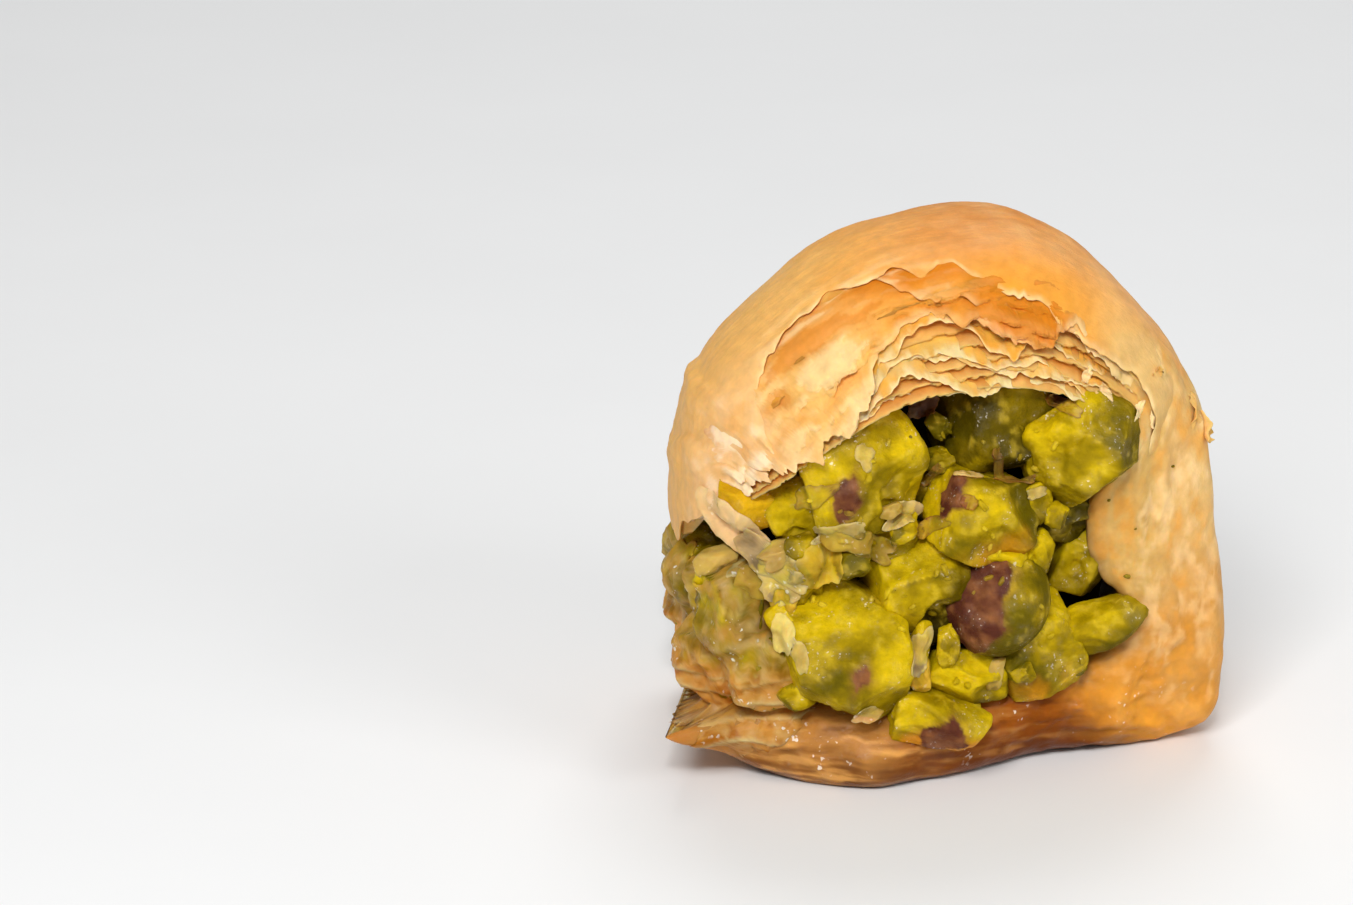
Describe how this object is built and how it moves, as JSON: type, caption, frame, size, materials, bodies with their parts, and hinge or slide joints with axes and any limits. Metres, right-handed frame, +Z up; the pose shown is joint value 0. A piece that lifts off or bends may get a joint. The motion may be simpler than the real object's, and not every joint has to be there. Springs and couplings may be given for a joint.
{
  "type": "baklava piece",
  "caption": "Upright arched piece of layered filo pastry, thick flaky crown and wall round a packed filling of coarse nut chunks, flat soaked underside.",
  "frame": {"origin": "under the centre of the piece's box, on the plane that the flat underside stands on", "axes": "+Z up; +Y along the roll's axis, with the displayed cut face towards -Y; +X towards the closed, soaked wall"},
  "size_m": [0.0474, 0.0344, 0.0448],
  "materials": {
    "baked_filo": "baked filo leaves, dry and golden on the crown, soaked and glossy with syrup on the wall and base",
    "pistachio": "broken pistachio kernels, moist with syrup, green to yellow with purple-brown skin"
  },
  "bodies": {
    "root": {"filo_wrap": "baked_filo", "pistachio_filling": "pistachio"}
  },
  "joints": []
}
